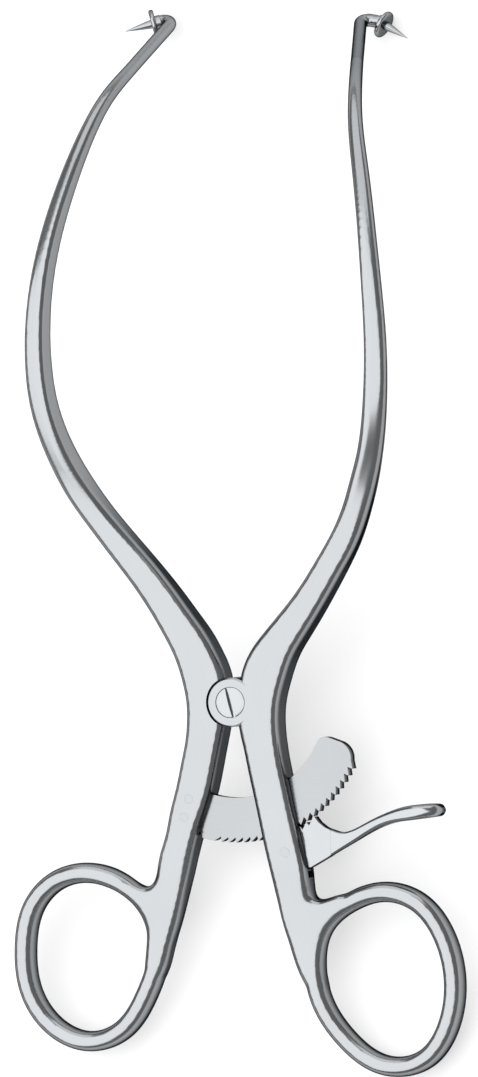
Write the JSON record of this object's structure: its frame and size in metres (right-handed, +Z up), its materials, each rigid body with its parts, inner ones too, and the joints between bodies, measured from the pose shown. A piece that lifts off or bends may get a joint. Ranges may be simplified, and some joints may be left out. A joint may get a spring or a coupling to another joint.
{
  "type": "self retaining retractor",
  "caption": "Two ring-handled steel levers on a screwed lap joint, with bowed shanks, guarded prongs, a toothed locking arc and a sprung release lever.",
  "frame": {"origin": "on the table, under the middle of the instrument's bounding box", "axes": "+Y from the finger rings to the prongs, +X to the side of the release lever, +Z up off the table; the instrument lies screw head up on its ring backs and prong corners, so its joint plane is pitched 8.8 degrees about X"},
  "size_m": [0.0858, 0.1956, 0.0355],
  "materials": {
    "forged_steel": "satin polished stainless steel",
    "bar_steel": "satin stainless steel",
    "screw_steel": "turned and polished stainless steel",
    "pin_steel": "ground flush stainless steel",
    "spring_steel": "rolled spring steel",
    "disc_steel": "polished stainless steel"
  },
  "bodies": {
    "left_half": {"left_lever": "forged_steel", "ratchet_bar": "bar_steel", "ratchet_bar_rivets": "pin_steel", "pivot_screw": "screw_steel", "left_guard_disc": "disc_steel"},
    "right_half": {"right_lever": "forged_steel", "right_guard_disc": "disc_steel", "release_lever_pin": "pin_steel", "leaf_spring": "spring_steel", "leaf_spring_pin": "pin_steel"},
    "release": {"release_lever": "bar_steel"}
  },
  "joints": [
    {"name": "lap_joint", "type": "hinge", "parent": "left_half", "child": "right_half", "pos_m": [0.00123, -0.03047, 0.0134], "axis": [0, -0.153, 0.9882], "range_deg": [-25, 14.5]},
    {"name": "release_pivot", "type": "hinge", "parent": "right_half", "child": "release", "pos_m": [0.01063, -0.05735, 0.00924], "axis": [0, -0.153, 0.9882], "range_deg": [-12, 0], "stiffness_Nm_per_rad": 0.1, "springref_deg": 9.74, "deforming": ["leaf_spring"]}
  ]
}
